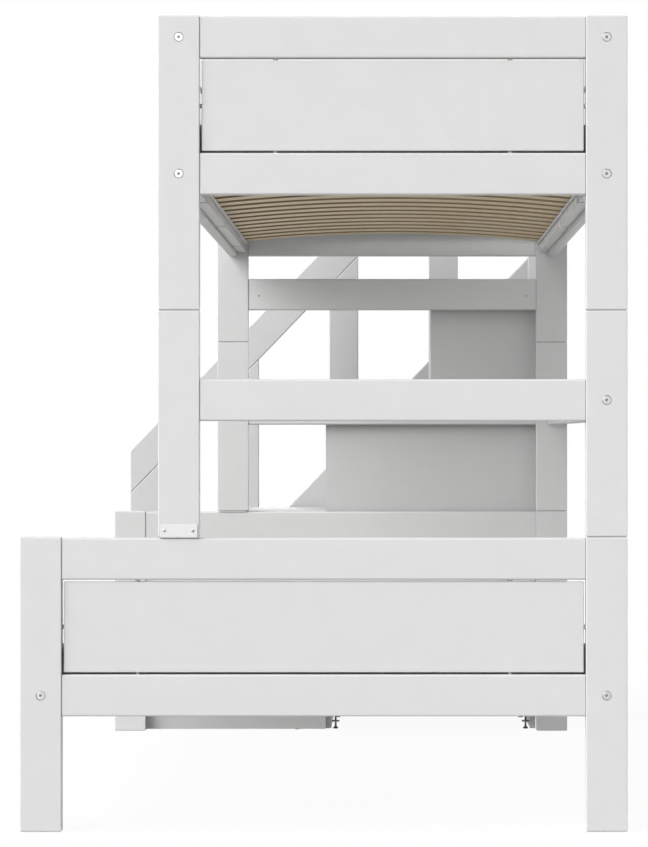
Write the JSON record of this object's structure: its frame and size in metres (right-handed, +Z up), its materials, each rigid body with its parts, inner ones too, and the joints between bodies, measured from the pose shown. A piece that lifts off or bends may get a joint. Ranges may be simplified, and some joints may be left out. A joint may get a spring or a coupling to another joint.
{
  "type": "bunk bed with stairs",
  "caption": "White wooden bunk bed, a narrow bed over a wider one, with slatted bases, guard rails and closed storage stairs with a banister across one end.",
  "frame": {"origin": "on the floor, in the middle of the whole box", "axes": "+Z up, +Y along the bed from the foot end to the stairs, +X across from the open side to the wall side"},
  "size_m": [1.32, 2.5724, 1.775],
  "materials": {
    "white_paint": "matt white lacquer",
    "white_metal": "white powder coat",
    "slat_wood": "clear bent beech",
    "dowel_wood": "plain beech",
    "steel": "zinc plated",
    "foot_steel": "dark zinc",
    "foot_plastic": "matt black"
  },
  "bodies": {
    "bunk_bed": {"lower_near_post_left": "white_paint", "lower_near_post_right": "white_paint", "lower_near_rails": "white_paint", "lower_near_panel": "white_paint", "dowels": "dowel_wood", "lower_far_post_left": "white_paint", "lower_far_post_right": "white_paint", "lower_far_rails": "white_paint", "lower_far_panel": "white_paint", "upper_near_post_left": "white_paint", "upper_near_post_right": "white_paint", "upper_near_rails": "white_paint", "upper_near_panel": "white_paint", "upper_far_post_left": "white_paint", "upper_far_post_right": "white_paint", "upper_far_bottom_rail": "white_paint", "far_guard_post": "white_paint", "far_guard_rail": "white_paint", "far_guard_panel": "white_paint", "stair_support_rail": "white_paint", "near_mid_post_left": "white_paint", "near_mid_post_right": "white_paint", "end_mid_rails": "white_paint", "post_shoes": "white_metal", "screws": "steel", "post_pins": "steel", "far_mid_post_left": "white_paint", "far_mid_post_right": "white_paint", "lower_side_rail_left": "white_paint", "bed_bolts": "steel", "lower_side_rail_right": "white_paint", "wall_mid_rail": "white_paint", "upper_side_rail_left": "white_paint", "upper_side_rail_right": "white_paint", "guard_rails": "white_paint", "guard_panels": "white_paint", "slat_ledgers": "white_paint", "lower_slat_frame": "white_paint", "lower_slats": "slat_wood", "upper_slat_frame": "white_paint", "upper_slats": "slat_wood", "stair_walls": "white_paint", "stair_treads": "white_paint", "low_back_panel": "white_paint", "tall_back_panel": "white_paint", "stair_shelves": "white_paint", "cabinet_floor": "white_paint", "glides": "foot_plastic", "handrail": "white_paint", "landing_rail": "white_paint", "banister_posts": "white_paint", "stair_stringer": "white_paint"},
    "foot_pad_1": {"foot_pad_1": "foot_plastic"},
    "foot_screw_1": {"foot_screw_1": "foot_steel"},
    "foot_pad_2": {"foot_pad_2": "foot_plastic"},
    "foot_screw_2": {"foot_screw_2": "foot_steel"},
    "foot_pad_3": {"foot_pad_3": "foot_plastic"},
    "foot_screw_3": {"foot_screw_3": "foot_steel"},
    "foot_pad_4": {"foot_pad_4": "foot_plastic"},
    "foot_screw_4": {"foot_screw_4": "foot_steel"}
  },
  "joints": [
    {"name": "foot_slide_1", "type": "slide", "parent": "bunk_bed", "child": "foot_pad_1", "axis": [0, 0, 1], "range_m": [-0.0062, 0.0082]},
    {"name": "foot_turn_1", "type": "hinge", "parent": "foot_pad_1", "child": "foot_screw_1", "pos_m": [-0.0167, 0.82625, 0], "axis": [0, 0, 1], "range_deg": [-2160, 2880]},
    {"name": "foot_slide_2", "type": "slide", "parent": "bunk_bed", "child": "foot_pad_2", "axis": [0, 0, 1], "range_m": [-0.0062, 0.0082]},
    {"name": "foot_turn_2", "type": "hinge", "parent": "foot_pad_2", "child": "foot_screw_2", "pos_m": [0.5417, 0.82625, 0], "axis": [0, 0, 1], "range_deg": [-2160, 2880]},
    {"name": "foot_slide_3", "type": "slide", "parent": "bunk_bed", "child": "foot_pad_3", "axis": [0, 0, 1], "range_m": [-0.0062, 0.0082]},
    {"name": "foot_turn_3", "type": "hinge", "parent": "foot_pad_3", "child": "foot_screw_3", "pos_m": [-0.0167, 1.14825, 0], "axis": [0, 0, 1], "range_deg": [-2160, 2880]},
    {"name": "foot_slide_4", "type": "slide", "parent": "bunk_bed", "child": "foot_pad_4", "axis": [0, 0, 1], "range_m": [-0.0062, 0.0082]},
    {"name": "foot_turn_4", "type": "hinge", "parent": "foot_pad_4", "child": "foot_screw_4", "pos_m": [0.5417, 1.14825, 0], "axis": [0, 0, 1], "range_deg": [-2160, 2880]}
  ],
  "couplings": [
    {"joint": "foot_slide_1", "follows": "foot_turn_1", "m_per_rad": 0.00015915},
    {"joint": "foot_slide_2", "follows": "foot_turn_2", "m_per_rad": 0.00015915},
    {"joint": "foot_slide_3", "follows": "foot_turn_3", "m_per_rad": 0.00015915},
    {"joint": "foot_slide_4", "follows": "foot_turn_4", "m_per_rad": 0.00015915}
  ]
}
